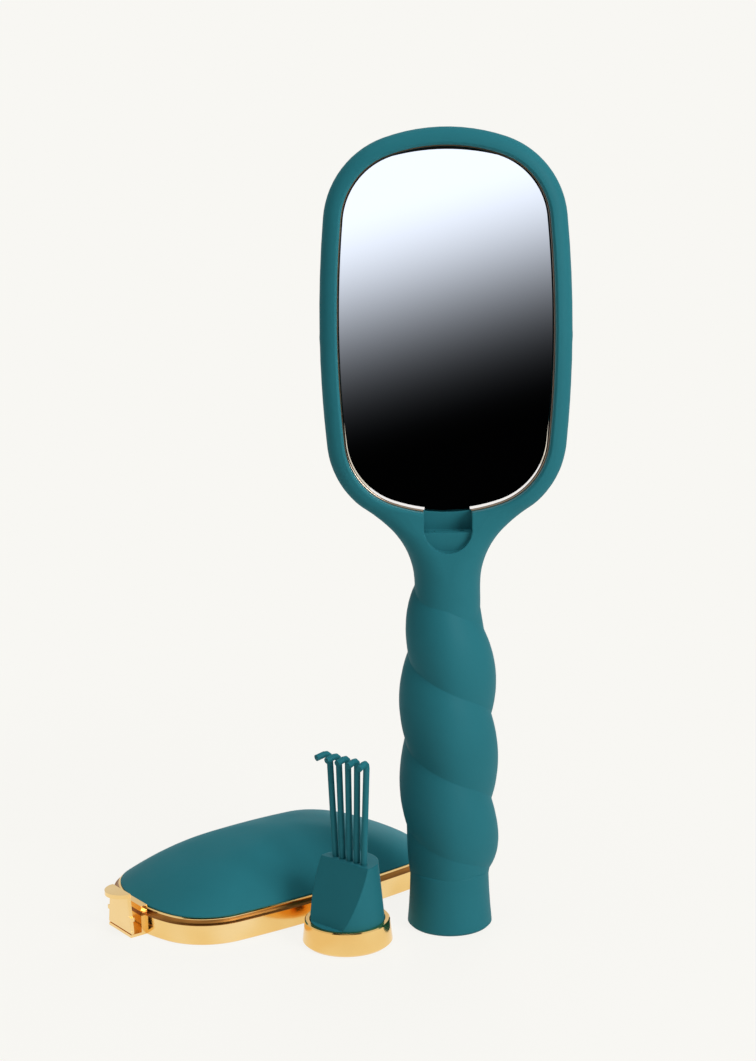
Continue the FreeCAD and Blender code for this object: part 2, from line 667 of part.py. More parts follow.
def make_cover_rim():
    """Plated rim: upright wall, hollow cove, bead and the seat that carries the dome."""
    steps = [(RIM_GROW - RIM_FOOT_BEVEL, 0), (RIM_GROW, RIM_FOOT_BEVEL), (RIM_GROW, RIM_HEIGHT)]
    for part in range(1, 5):
        angle = math.pi / 2 * part / 4
        level = RIM_HEIGHT + COVE_HEIGHT * (1 - math.cos(angle))
        steps.append((RIM_GROW - COVE_WIDTH * math.sin(angle), level))
    steps += [(BEAD_GROW, BEAD_LEVEL - BEAD_HEIGHT / 2), (BEAD_GROW - BEAD_WIDTH / 2, BEAD_LEVEL)]
    rim = oval_stack(steps, cover_plane)
    inner = RIM_GROW - RIM_WALL
    ledge = SEAT_LEVEL - SEAT_THICKNESS
    hollow = oval_prism(inner, -OVERRUN, ledge, cover_plane)
    seat = oval_prism(DOME_GROW, SEAT_LEVEL, LEG_HEIGHT + OVERRUN, cover_plane)
    window = oval_prism(DOME_GROW - SEAT_WIDTH, 0, BEAD_LEVEL, cover_plane)
    rim = rim.cut([hollow, seat, window])
    half = LATCH_HALF_WIDTH
    inside = -RIM_END + RIM_WALL
    leg = box(Vector(-LEG_OUTER, -half, 0), Vector(inside, half, LEG_HEIGHT))
    leg = leg.cut([hollow, seat])
    strip = box(Vector(-PLATE_OUTER, -half, 0), Vector(-RIM_END + RIM_WALL / 2, half, LATCH_STRIP))
    stop = box(
        Vector(-LEG_OUTER, -half - NUB_REACH, LEG_HEIGHT - 2 * NUB_HEIGHT),
        Vector(-RIM_END + RIM_WALL / 2, -half, LEG_HEIGHT - NUB_HEIGHT),
    )
    tab_low = Vector(RIM_END - RIM_WALL, -TAB_HALF_WIDTH, 0)
    tab = box(tab_low, Vector(RIM_END + TAB_REACH, TAB_HALF_WIDTH, TAB_THICKNESS))
    tab = tab.cut(hollow)
    return place_cover(rim.fuse([leg, strip, stop, tab]).removeSplitter())


def oval_reach(along, across, grow):
    """Distance from the middle of a grown oval to its edge in a given direction."""
    way = Vector(abs(along), abs(across), 0).normalize()
    corner = Vector(CORNER_LONG, CORNER_WIDE, 0)
    corner_radius = OPENING_CORNER_RADIUS + grow
    end_joint = corner + Vector(math.cos(END_ANGLE), math.sin(END_ANGLE), 0) * corner_radius
    side_joint = corner + Vector(math.cos(SIDE_ANGLE), math.sin(SIDE_ANGLE), 0) * corner_radius
    centre, radius = corner, corner_radius
    if way.y * end_joint.x < way.x * end_joint.y:
        centre, radius = Vector(END_CENTRE, 0, 0), OPENING_END_RADIUS + grow
    elif way.y * side_joint.x > way.x * side_joint.y:
        centre, radius = Vector(0, SIDE_CENTRE, 0), OPENING_SIDE_RADIUS + grow
    middle = way.dot(centre)
    return middle + math.sqrt(middle ** 2 - centre.dot(centre) + radius ** 2)


def dome_surface(drop):
    """Crowned sheet over the cover, lowered by the shell's thickness for its underside."""
    half_length = (OPENING_HALF_LENGTH + DOME_GROW) * DOME_REACH_SHARE
    half_width = (OPENING_HALF_WIDTH + DOME_GROW) * DOME_REACH_SHARE
    rows = []
    for row in range(-DOME_GRID, DOME_GRID + 1):
        along = row / DOME_GRID * half_length
        line = []
        for column in range(-DOME_GRID, DOME_GRID + 1):
            across = column / DOME_GRID * half_width
            spread = 0
            if row or column:
                spread = math.hypot(along, across) / oval_reach(along, across, DOME_GROW)
            level = BEAD_LEVEL + DOME_EDGE + DOME_HEIGHT * (1 - spread ** DOME_FALL) - drop
            line.append(Vector(along, across, level))
        rows.append(line)
    sheet = Part.BSplineSurface()
    sheet.interpolate(rows)
    return sheet.toShape().extrude(-Z_AXIS * (DOME_HEIGHT + BEAD_LEVEL) * 2)


def make_cover_dome():
    """Crowned shell that sits in the rim's seat, inside its bead."""
    top = BEAD_LEVEL + DOME_EDGE + DOME_HEIGHT + OVERRUN
    grow = DOME_GROW
    outer = oval_prism(grow, SEAT_LEVEL, top, cover_plane).common(dome_surface(0))
    inner = grow - SEAT_WIDTH
    hollow = oval_prism(inner, SEAT_LEVEL - OVERRUN, top, cover_plane).common(dome_surface(DOME_SHELL))
    return place_cover(outer.cut(hollow).removeSplitter())


def make_latch():
    """Sprung plate, narrower upwards, with a round thumb tongue and a catch nub on each side."""
    half = LATCH_HALF_WIDTH
    top_half = LATCH_TOP_HALF_WIDTH
    radius = LATCH_THICKNESS / 2
    pivot_x = -PLATE_INNER - radius
    foot = Part.makeCylinder(radius, 2 * half, Vector(pivot_x, -half, PIVOT_LEVEL), Y_AXIS)
    tongue_low = LATCH_HEIGHT - TONGUE_THICKNESS
    outline = [
        Vector(-PLATE_OUTER, -half, PIVOT_LEVEL),
        Vector(-PLATE_OUTER, half, PIVOT_LEVEL),
        Vector(-PLATE_OUTER, top_half, tongue_low),
        Vector(-PLATE_OUTER, top_half, LATCH_HEIGHT),
        Vector(-PLATE_OUTER, -top_half, LATCH_HEIGHT),
        Vector(-PLATE_OUTER, -top_half, tongue_low),
    ]
    plate = polygon_face(outline).extrude(Vector(LATCH_THICKNESS, 0, 0))
    rim = arc(
        Vector(-PLATE_OUTER, top_half, tongue_low),
        Vector(-PLATE_OUTER - TONGUE_REACH, 0, tongue_low),
        Vector(-PLATE_OUTER, -top_half, tongue_low),
    )
    back = Part.makePolygon(
        [
            Vector(-PLATE_OUTER, -top_half, tongue_low),
            Vector(-PLATE_INNER, -top_half, tongue_low),
            Vector(-PLATE_INNER, top_half, tongue_low),
            Vector(-PLATE_OUTER, top_half, tongue_low),
        ]
    )
    tongue = Part.Face(Part.Wire([rim] + back.Edges)).extrude(Z_AXIS * TONGUE_THICKNESS)
    pieces = [plate, tongue]
    for side in (-1, 1):
        near, far = sorted((side * top_half, side * (half + NUB_REACH / 2)))
        low = Vector(-PLATE_OUTER, near, NUB_LEVEL)
        pieces.append(box(low, Vector(-PLATE_INNER, far, NUB_LEVEL + NUB_HEIGHT)))
    return place_cover(foot.fuse(pieces).removeSplitter())


def place_rake(shape):
    shape.rotate(Vector(0, 0, 0), Z_AXIS, RAKE_TURN_DEGREES)
    shape.translate(Vector(RAKE_PLACE_X, RAKE_PLACE_Y, 0))
    return shape


def make_cap_ring():
    """Plated end cap: a flared cup that the rake's cone stands in."""
    bore = CONE_FOOT_RADIUS + CONE_FIT
    points = [
        Vector(0, 0, 0),
        Vector(CAP_FOOT_RADIUS - CAP_EDGE, 0, 0),
        Vector(CAP_FOOT_RADIUS, 0, CAP_EDGE),
        Vector(CAP_TOP_RADIUS, 0, CAP_HEIGHT - CAP_EDGE / 2),
        Vector(CAP_TOP_RADIUS - CAP_EDGE / 2, 0, CAP_HEIGHT),
        Vector(bore + CAP_LIP, 0, CAP_HEIGHT),
        Vector(bore, 0, CAP_HEIGHT - CAP_LIP),
        Vector(bore, 0, CAP_FLOOR),
        Vector(0, 0, CAP_FLOOR),
    ]
    return place_rake(polygon_face(points).revolve(Vector(0, 0, 0), Z_AXIS, 360))


def tine_foot(index):
    """Where a tine meets the top of the cone, and its lean along the row."""
    place = index - (TINE_COUNT - 1) / 2
    foot = Vector(place * TINE_FOOT_PITCH, TINE_SET_BACK, CONE_TOP_HEIGHT)
    top = Vector(place * TINE_TOP_PITCH, TINE_SET_BACK, TINE_TOP_HEIGHT - TINE_RADIUS)
    lean = top - foot
    return foot, lean.normalize()


def make_cone():
    """Tapered plug with one slanted flat, bored for the tines."""
    plug = Part.makeCylinder(CONE_FOOT_RADIUS, CAP_HEIGHT - CAP_FLOOR, Vector(0, 0, CAP_FLOOR))
    taper = Part.makeCone(
        CONE_FOOT_RADIUS, CONE_TOP_RADIUS, CONE_TOP_HEIGHT - CAP_HEIGHT, Vector(0, 0, CAP_HEIGHT)
    )
    reach = CONE_FOOT_RADIUS + OVERRUN
    rise = (FACET_FOOT - FACET_TOP) / (CONE_TOP_HEIGHT - CAP_HEIGHT)
    profile = [
        Vector(-reach, -FACET_FOOT, CAP_HEIGHT),
        Vector(-reach, -FACET_TOP + rise * OVERRUN, CONE_TOP_HEIGHT + OVERRUN),
        Vector(-reach, -reach, CONE_TOP_HEIGHT + OVERRUN),
        Vector(-reach, -reach, CAP_HEIGHT),
    ]
    flat = polygon_face(profile).extrude(Vector(2 * reach, 0, 0))
    cone = plug.fuse(taper).cut(flat)
    holes = []
    for index in range(TINE_COUNT):
        foot, lean = tine_foot(index)
        start = foot - lean * TINE_ROOT_DEPTH
        holes.append(Part.makeCylinder(TINE_RADIUS, TINE_ROOT_DEPTH + OVERRUN, start, lean))
    return place_rake(cone.cut(holes).removeSplitter())


def tine(index):
    """Round tine, leaning a little outwards, whose tip hooks over the slanted flat in a slight fan."""
    foot, lean = tine_foot(index)
    start = foot - lean * TINE_ROOT_DEPTH
    fan = math.radians(HOOK_FAN_DEGREES) * (index - (TINE_COUNT - 1) / 2)
    over = Vector(math.sin(fan), -math.cos(fan), 0)
    length = (TINE_TOP_HEIGHT - TINE_RADIUS - CONE_TOP_HEIGHT) / lean.z
    bend_start = foot + lean * (length - HOOK_RADIUS)
    centre = bend_start + over * HOOK_RADIUS
    turn = math.radians(90 + HOOK_DROOP_DEGREES)

    def around(angle):
        return centre - over * (HOOK_RADIUS * math.cos(angle)) + lean * (HOOK_RADIUS * math.sin(angle))

    bends = [around(turn * step / HOOK_BENDS) for step in range(HOOK_BENDS + 1)]
    way = over * math.sin(turn) + lean * math.cos(turn)
    path = Part.makePolygon([start] + bends + [bends[-1] + way * HOOK_LENGTH])
    section = Part.Wire(Part.makeCircle(TINE_RADIUS, start, lean))
    return path.makePipeShell([section], True, False, MITRED)


def make_tines():
    return place_rake(Part.makeCompound([tine(index) for index in range(TINE_COUNT)]))


PARTS = {
    "handle_body": make_handle_body,
    "mirror_backing": make_mirror_backing,
    "mirror_glass": make_mirror_glass,
    "mirror_bezel": make_mirror_bezel,
    "cushion_trim": make_trim_ring,
    "bristle_cushion": make_cushion,
    "boar_tufts": make_tufts,
    "cover_rim": make_cover_rim,
    "cover_dome": make_cover_dome,
    "cover_latch": make_latch,
    "cap_ring": make_cap_ring,
    "rake_cone": make_cone,
    "rake_tines": make_tines,
}

os.makedirs("parts", exist_ok=True)
for name, make in PARTS.items():
    shape = make()
    shape.exportStep("parts/" + name + ".step")
    print(name, "solids", len(shape.Solids), "valid", shape.isValid(), "volume", round(shape.Volume))
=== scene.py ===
"""Looks of a mirror-backed boar bristle brush with its domed cover and its cleaning rake."""

import logging
import math
import random
from dataclasses import dataclass
from enum import Enum

import bmesh
import bpy
from mathutils import Matrix, Vector


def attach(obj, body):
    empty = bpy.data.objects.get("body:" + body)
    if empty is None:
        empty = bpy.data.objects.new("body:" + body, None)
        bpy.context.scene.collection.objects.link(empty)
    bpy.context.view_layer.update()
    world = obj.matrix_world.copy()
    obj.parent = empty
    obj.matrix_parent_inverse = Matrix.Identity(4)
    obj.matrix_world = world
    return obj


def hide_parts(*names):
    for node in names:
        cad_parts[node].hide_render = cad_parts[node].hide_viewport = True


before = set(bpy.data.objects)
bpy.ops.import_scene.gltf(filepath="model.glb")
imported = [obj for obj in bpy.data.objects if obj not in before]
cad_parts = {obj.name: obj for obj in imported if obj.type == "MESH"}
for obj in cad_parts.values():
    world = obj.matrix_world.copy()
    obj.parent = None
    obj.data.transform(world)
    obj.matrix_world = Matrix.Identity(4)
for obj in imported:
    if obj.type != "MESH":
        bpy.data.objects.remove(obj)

logging.basicConfig(level=logging.INFO, format="%(message)s")
LOG = logging.getLogger("brush_set")

PHOTO_WIDTH = 756
PHOTO_HEIGHT = 1061
BACKGROUND = (0.939, 0.930, 0.896)
MM = 0.001
# Levels of the rim's cove, where the gold gets painted shade as a darker, duller brown band.
COVE_LEVELS = (6.35 * MM, 7.75 * MM)
NOISE_SPREAD = (0.3, 0.7)
BAND_EDGE = 0.06 * MM
MERGE_DISTANCE = 0.002 * MM
FLAT_TOLERANCE = 0.01 * MM

# The Mix node shares its socket names among its data types, so they go by number.
MIX_COLOURS = (6, 7)
MIX_COLOUR_RESULT = 2
MIX_VALUES = (2, 3)
MIX_VALUE_RESULT = 0


class Body(Enum):
    """The bodies that the set comes apart into."""

    HANDLE = "handle"
    COVER = "cover"
    LATCH = "latch"
    RAKE = "rake"


class Slot(Enum):
    """The record's material slots."""

    TEAL = "teal_satin"
    GOLD = "gold_plate"
    MIRROR = "mirror"
    BACKING = "backing"
    RUBBER = "rubber_pad"
    BRISTLE = "bristle"


class Sketch:
    """A material's node tree, with short calls for the nodes that the finishes share."""

    def __init__(self, name: str) -> None:
        """Start an empty material.

        Args:
            name: the material's name.
        """
        self.material = bpy.data.materials.new(name)
        self.material.use_nodes = True
        self.tree = self.material.node_tree
        self.shader = self.tree.nodes["Principled BSDF"]
        self.place = self.add("ShaderNodeTexCoord").outputs["Object"]

    def add(self, kind: str, **settings: object) -> bpy.types.Node:
        """Add a node.

        Args:
            kind: the node's type.
            settings: the node's own properties.

        Returns:
            The new node.
        """
        node = self.tree.nodes.new(kind)
        for key, value in settings.items():
            setattr(node, key, value)
        return node

    def join(self, start: bpy.types.NodeSocket, end: bpy.types.NodeSocket) -> None:
        """Link an output to an input."""
        self.tree.links.new(start, end)

    def stretched(self, scale: tuple[float, float, float]) -> bpy.types.NodeSocket:
        """Object coordinates scaled by axis.

        Args:
            scale: the factor along each axis.

        Returns:
            The scaled coordinates.
        """
        node = self.add("ShaderNodeMapping")
        node.inputs["Scale"].default_value = scale
        self.join(self.place, node.inputs["Vector"])
        return node.outputs["Vector"]

    def noise(
        self,
        scale: float,
        detail: float = 2.0,
        place: bpy.types.NodeSocket | None = None,
    ) -> bpy.types.NodeSocket:
        """Soft noise in object space.

        Args:
            scale: how many waves there are to a metre.
            detail: how many finer layers are added.
            place: the coordinates, plain object space if left out.

        Returns:
            The noise value.
        """
        node = self.add("ShaderNodeTexNoise")
        node.inputs["Scale"].default_value = scale
        node.inputs["Detail"].default_value = detail
        self.join(place or self.place, node.inputs["Vector"])
        return node.outputs["Fac"]

    def between(
        self, value: bpy.types.NodeSocket, low: float, high: float
    ) -> bpy.types.NodeSocket:
        """Spread a noise value between two numbers.

        Args:
            value: the noise.
            low: the result where the noise is weak.
            high: the result where it is strong.

        Returns:
            The spread value.
        """
        node = self.add("ShaderNodeMapRange")
        node.inputs["From Min"].default_value = NOISE_SPREAD[0]
        node.inputs["From Max"].default_value = NOISE_SPREAD[1]
        node.inputs["To Min"].default_value = low
        node.inputs["To Max"].default_value = high
        self.join(value, node.inputs["Value"])
        return node.outputs["Result"]

    def along(self, axis: str) -> bpy.types.NodeSocket:
        """One object coordinate, in metres.

        Args:
            axis: the axis that it lies on.

        Returns:
            The coordinate.
        """
        split = self.add("ShaderNodeSeparateXYZ")
        self.join(self.place, split.inputs["Vector"])
        return split.outputs[axis]

    def band(self, axis: str, low: float, high: float) -> bpy.types.NodeSocket:
        """A mask that is 1 between two levels of object space.

        Args:
            axis: the axis that the levels lie on.
            low: the lower level in metres.
            high: the upper level in metres.

        Returns:
            The mask, with soft edges.
        """
        height = self.along(axis)
        sides = []
        for level, way in ((low, 1.0), (high, -1.0)):
            node = self.add("ShaderNodeMapRange")
            node.inputs["From Min"].default_value = level - way * BAND_EDGE
            node.inputs["From Max"].default_value = level + way * BAND_EDGE
            self.join(height, node.inputs["Value"])
            sides.append(node.outputs["Result"])
        both = self.add("ShaderNodeMath", operation="MULTIPLY")
        self.join(sides[0], both.inputs[0])
        self.join(sides[1], both.inputs[1])
        return both.outputs["Value"]

    def blended(
        self,
        share: bpy.types.NodeSocket,
        first: bpy.types.NodeSocket,
        second: bpy.types.NodeSocket,
    ) -> bpy.types.NodeSocket:
        """Mix two colours.

        Args:
            share: how much of the second colour shows.
            first: the first colour.
            second: the second colour.

        Returns:
            The mixed colour.
        """
        node = self.add("ShaderNodeMix", data_type="RGBA")
        self.join(share, node.inputs["Factor"])
        self.join(first, node.inputs[MIX_COLOURS[0]])
        self.join(second, node.inputs[MIX_COLOURS[1]])
        return node.outputs[MIX_COLOUR_RESULT]

    def multiplied(
        self, first: bpy.types.NodeSocket, second: bpy.types.NodeSocket
    ) -> bpy.types.NodeSocket:
        """Multiply two colours.

        Args:
            first: the first colour.
            second: the second colour.

        Returns:
            The darker colour that they make.
        """
        node = self.add("ShaderNodeMix", data_type="RGBA", blend_type="MULTIPLY")
        node.inputs["Factor"].default_value = 1.0
        self.join(first, node.inputs[MIX_COLOURS[0]])
        self.join(second, node.inputs[MIX_COLOURS[1]])
        return node.outputs[MIX_COLOUR_RESULT]

    def blended_value(
        self, share: bpy.types.NodeSocket, first: bpy.types.NodeSocket, second: float
    ) -> bpy.types.NodeSocket:
        """Mix a value with a number.

        Args:
            share: how much of the number shows.
            first: the value.
            second: the number.

        Returns:
            The mixed value.
        """
        node = self.add("ShaderNodeMix", data_type="FLOAT")
        self.join(share, node.inputs["Factor"])
        self.join(first, node.inputs[MIX_VALUES[0]])
        node.inputs[MIX_VALUES[1]].default_value = second
        return node.outputs[MIX_VALUE_RESULT]

    def tint(
        self,
        value: bpy.types.NodeSocket,
        stops: list[tuple[float, tuple[float, float, float]]],
    ) -> bpy.types.NodeSocket:
        """Colour a value with a ramp.

        Args:
            value: what drives the ramp.
            stops: places along the ramp with their colours.

        Returns:
            The colour.
        """
        node = self.add("ShaderNodeValToRGB")
        ramp = node.color_ramp
        while len(ramp.elements) < len(stops):
            ramp.elements.new(1.0)
        for element, (spot, colour) in zip(ramp.elements, stops):
            element.position = spot
            element.color = (*colour, 1.0)
        self.join(value, node.inputs["Fac"])
        return node.outputs["Color"]

    def softened(self, radius: float) -> bpy.types.NodeSocket:
        """Normal with the sharp edges rounded off.

        Args:
            radius: how far the rounding reaches in metres.

        Returns:
            The normal.
        """
        node = self.add("ShaderNodeBevel", samples=8)
        node.inputs["Radius"].default_value = radius
        return node.outputs["Normal"]

    def relief(
        self,
        value: bpy.types.NodeSocket,
        strength: float,
        depth: float,
        under: bpy.types.NodeSocket | None = None,
    ) -> bpy.types.NodeSocket:
        """Turn a value into surface relief.

        Args:
            value: the height.
            strength: how much of it shows.
            depth: the height of a full step in metres.
            under: relief that this one lies on.

        Returns:
            The normal.
        """
        node = self.add("ShaderNodeBump")
        node.inputs["Strength"].default_value = strength
        node.inputs["Distance"].default_value = depth
        self.join(value, node.inputs["Height"])
        if under:
            self.join(under, node.inputs["Normal"])
        return node.outputs["Normal"]


def shades(
    colour: tuple[float, float, float], low: float, high: float
) -> list[tuple[float, tuple[float, float, float]]]:
    """A darker and a lighter shade of a colour as ramp stops.

    Args:
        colour: the middle colour.
        low: the darker shade's factor.
        high: the lighter shade's factor.

    Returns:
        Two ramp stops.
    """
    return [
        (NOISE_SPREAD[0], tuple(part * low for part in colour)),
        (NOISE_SPREAD[1], tuple(part * high for part in colour)),
    ]


@dataclass(frozen=True)
class SatinLacquer:
    """Soft satin lacquer over a moulded body."""

    name: str = "teal_satin_lacquer"
    colour: tuple[float, float, float] = (0.0180, 0.150, 0.182)
    roughness: float = 0.52
    uneven: float = 0.04
    specular: float = 0.07
    edge: float = 0.55 * MM
    tones: tuple[float, float] = (0.95, 1.05)
    flecks: tuple[float, float] = (0.96, 1.0)
    drift_scale: float = 26.0
    gloss_scale: float = 90.0
    grain_scale: float = 3200.0
    grain_strength: float = 0.12
    grain_depth: float = 0.04 * MM

    def make(self) -> bpy.types.Material:
        """Build the material, with drifting tone, fine grain and uneven gloss."""
        sketch = Sketch(self.name)
        drift = sketch.noise(self.drift_scale, 3.0)
        fleck = sketch.noise(self.grain_scale, 1.0)
        tone = sketch.tint(drift, shades(self.colour, *self.tones))
        speck = sketch.tint(fleck, shades((1.0, 1.0, 1.0), *self.flecks))
        sketch.join(sketch.multiplied(tone, speck), sketch.shader.inputs["Base Color"])
        gloss = sketch.between(
            sketch.noise(self.gloss_scale, 4.0),
            self.roughness - self.uneven,
            self.roughness + self.uneven,
        )
        sketch.join(gloss, sketch.shader.inputs["Roughness"])
        skin = sketch.relief(
            fleck, self.grain_strength, self.grain_depth, sketch.softened(self.edge)
        )
        sketch.join(skin, sketch.shader.inputs["Normal"])
        sketch.shader.inputs["Specular IOR Level"].default_value = self.specular
        return sketch.material


@dataclass(frozen=True)
class GoldPlating:
    """Polished gold plating with faint polishing marks."""

    name: str = "polished_gold_plating"
    colour: tuple[float, float, float] = (0.93, 0.63, 0.245)
    deep: tuple[float, float, float] = (0.89, 0.55, 0.18)
    pale: tuple[float, float, float] = (0.98, 0.73, 0.37)
    roughness: float = 0.12
    # Levels of a cove that gets painted shade: the gold turns a darker, duller brown there.
    cove: tuple[float, float] | None = None
    cove_shade_colour: tuple[float, float, float] = (0.36, 0.155, 0.036)
    cove_roughness: float = 0.36
    cove_shade_tones: tuple[float, float] = (0.8, 1.15)
    cove_shade_scale: float = 140.0
    tone_places: tuple[float, float, float] = (0.35, 0.5, 0.68)
    tone_scale: float = 34.0
    line_scale: float = 420.0
    line_stretch: tuple[float, float, float] = (1.0, 1.0, 9.0)
    line_gloss: tuple[float, float] = (-0.03, 0.04)
    line_strength: float = 0.05
    line_depth: float = 0.03 * MM
    swell_scale: float = 38.0
    swell_strength: float = 0.25
    swell_depth: float = 0.4 * MM

    def make(self) -> bpy.types.Material:
        """Build the material, with polishing lines, tone changes and painted shade in a cove."""
        sketch = Sketch(self.name)
        stops = list(zip(self.tone_places, (self.deep, self.colour, self.pale)))
        tone = sketch.tint(sketch.noise(self.tone_scale), stops)
        sketch.shader.inputs["Metallic"].default_value = 1.0
        lines = sketch.noise(self.line_scale, 3.0, sketch.stretched(self.line_stretch))
        low, high = (self.roughness + part for part in self.line_gloss)
        gloss = sketch.between(lines, low, high)
        # Painted shade: the cove band is coloured dark brown and made duller, standing in for
        # shade in the hollow.
        if self.cove:
            inside = sketch.band("Z", *self.cove)
            cove_shade_tint = sketch.tint(
                sketch.noise(self.cove_shade_scale, 3.0), shades(self.cove_shade_colour, *self.cove_shade_tones)
            )
            tone = sketch.blended(inside, tone, cove_shade_tint)
            gloss = sketch.blended_value(inside, gloss, self.cove_roughness)
        sketch.join(tone, sketch.shader.inputs["Base Color"])
        sketch.join(gloss, sketch.shader.inputs["Roughness"])
        swell = sketch.relief(
            sketch.noise(self.swell_scale, 1.0), self.swell_strength, self.swell_depth
        )
        skin = sketch.relief(lines, self.line_strength, self.line_depth, swell)
        sketch.join(skin, sketch.shader.inputs["Normal"])
        return sketch.material


@dataclass(frozen=True)
class SilveredGlass:
    """Mirror glass with the faintest haze."""

    name: str = "silvered_glass"
    colour: tuple[float, float, float] = (0.965, 0.975, 0.98)
    tones: tuple[float, float] = (0.992, 1.0)
    tone_scale: float = 14.0
    haze: float = 0.012
    haze_scale: float = 45.0

    def make(self) -> bpy.types.Material:
        """Build the material, clear with a trace of haze in patches."""
        sketch = Sketch(self.name)
        tone = sketch.tint(sketch.noise(self.tone_scale), shades(self.colour, *self.tones))
        sketch.join(tone, sketch.shader.inputs["Base Color"])
        sketch.shader.inputs["Metallic"].default_value = 1.0
        haze = sketch.between(sketch.noise(self.haze_scale, 4.0), 0.0, self.haze)
        sketch.join(haze, sketch.shader.inputs["Roughness"])
        return sketch.material


@dataclass(frozen=True)
class BackingFoam:
    """Dark foam that holds the glass."""

    name: str = "backing_foam"
    colour: tuple[float, float, float] = (0.03, 0.03, 0.032)
    roughness: float = 0.9
    tones: tuple[float, float] = (0.6, 1.3)
    cell_scale: float = 2600.0
    cell_strength: float = 0.5
    cell_depth: float = 0.1 * MM

    def make(self) -> bpy.types.Material:
        """Build the material, with open cells."""
        sketch = Sketch(self.name)
        cells = sketch.noise(self.cell_scale)
        tone = sketch.tint(cells, shades(self.colour, *self.tones))
        sketch.join(tone, sketch.shader.inputs["Base Color"])
        sketch.shader.inputs["Roughness"].default_value = self.roughness
        skin = sketch.relief(cells, self.cell_strength, self.cell_depth)
        sketch.join(skin, sketch.shader.inputs["Normal"])
        return sketch.material


@dataclass(frozen=True)
class PadRubber:
    """Matt rubber of the bristle pad."""

    name: str = "pad_rubber"
    colour: tuple[float, float, float] = (0.012, 0.062, 0.074)
    gloss: tuple[float, float] = (0.58, 0.7)
    tones: tuple[float, float] = (0.86, 1.16)
    bloom_scale: float = 70.0
    pore_scale: float = 1900.0
    pore_strength: float = 0.25
    pore_depth: float = 0.08 * MM

    def make(self) -> bpy.types.Material:
        """Build the material, with a powdery skin and fine pores."""
        sketch = Sketch(self.name)
        pores = sketch.noise(self.pore_scale, 3.0)
        bloom = sketch.noise(self.bloom_scale, 4.0)
        tone = sketch.tint(bloom, shades(self.colour, *self.tones))
        sketch.join(tone, sketch.shader.inputs["Base Color"])
        gloss = sketch.between(bloom, *self.gloss)
        sketch.join(gloss, sketch.shader.inputs["Roughness"])
        skin = sketch.relief(pores, self.pore_strength, self.pore_depth)
        sketch.join(skin, sketch.shader.inputs["Normal"])
        return sketch.material


@dataclass(frozen=True)
class BoarHair:
    """Natural boar bristle, dark at the root and warmer at the tip."""

    name: str = "boar_hair"
    root: tuple[float, float, float] = (0.020, 0.013, 0.009)
    tip: tuple[float, float, float] = (0.150, 0.088, 0.047)
    root_level: float = 11.0 * MM
    tip_level: float = 29.0 * MM
    root_share: float = 0.1
    gloss: tuple[float, float] = (0.36, 0.5)
    streaks: tuple[tuple[float, float], ...] = ((0.35, 0.5), (0.65, 1.0))
    streak_scale: float = 1500.0
    streak_stretch: tuple[float, float, float] = (1.0, 0.03, 1.0)

    def make(self) -> bpy.types.Material:
        """Build the material, graded along the bristle and streaked from one to the next."""
        sketch = Sketch(self.name)
        rise = sketch.add("ShaderNodeMapRange")
        rise.inputs["From Min"].default_value = self.root_level
        rise.inputs["From Max"].default_value = self.tip_level
        sketch.join(sketch.along("Y"), rise.inputs["Value"])
        grade = sketch.tint(
            rise.outputs["Result"], [(self.root_share, self.root), (1.0, self.tip)]
        )
        streak = sketch.noise(self.streak_scale, 1.0, sketch.stretched(self.streak_stretch))
        shade = sketch.tint(streak, [(spot, (grey,) * 3) for spot, grey in self.streaks])
        sketch.join(sketch.multiplied(grade, shade), sketch.shader.inputs["Base Color"])
        gloss = sketch.between(streak, *self.gloss)
        sketch.join(gloss, sketch.shader.inputs["Roughness"])
        return sketch.material


@dataclass(frozen=True)
class Finishes:
    """The finished materials. Some slots have extra copies, some lighter or darker as painted
    light and shade.
    """

    teal: bpy.types.Material
    cover_lit_teal: bpy.types.Material
    gold: bpy.types.Material
    cove_shaded_gold: bpy.types.Material
    bezel_shade_gold: bpy.types.Material
    mirror: bpy.types.Material
    glass_edge: bpy.types.Material
    backing: bpy.types.Material
    rubber: bpy.types.Material
    hair: bpy.types.Material


def dress(node: str, material: bpy.types.Material) -> bpy.types.Object:
    """Give a carried-over node its finish.

    Args:
        node: the node's name.
        material: its finish.

    Returns:
        The node's object.
    """
    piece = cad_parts[node]
    if not piece.material_slots:
        piece.data.materials.append(material)
    for place in piece.material_slots:
        place.material = material
    LOG.info("dressed %s in %s", node, material.name)
    return piece


def new_piece(
    name: str,
    mesh: bpy.types.Mesh,
    material: bpy.types.Material,
    body: Body,
) -> bpy.types.Object:
    """Put a finished mesh into the scene as a piece of the object.

    Args:
        name: the piece's name.
        mesh: its mesh, already in place.
        material: its finish.
        body: the body that it rides on.

    Returns:
        The new object.
    """
    piece = bpy.data.objects.new(name, mesh)
    bpy.context.scene.collection.objects.link(piece)
    mesh.materials.clear()
    mesh.materials.append(material)
    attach(piece, body.value)
    LOG.info("built %s with %d faces", name, len(mesh.polygons))
    return piece


def merged_copy(node: str) -> bmesh.types.BMesh:
    """A copy of a node's mesh with its loose triangles joined.

    Args:
        node: the node's name.

    Returns:
        The joined mesh.
    """
    mesh = bmesh.new()
    mesh.from_mesh(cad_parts[node].data)
    bmesh.ops.remove_doubles(mesh, verts=mesh.verts, dist=MERGE_DISTANCE)
    return mesh


def islands(mesh: bmesh.types.BMesh) -> list[list[bmesh.types.BMVert]]:
    """Group a mesh's vertices into connected islands.

    Args:
        mesh: a joined mesh.

    Returns:
        One list of vertices for each island.
    """
    left, groups = set(mesh.verts), []
    for seed in mesh.verts:
        if seed not in left:
            continue
        left.discard(seed)
        group, edge = [seed], [seed]
        while edge:
            vert = edge.pop()
            for link in vert.link_edges:
                other = link.other_vert(vert)
                if other in left:
                    left.discard(other)
                    group.append(other)
                    edge.append(other)
        groups.append(group)
    return groups


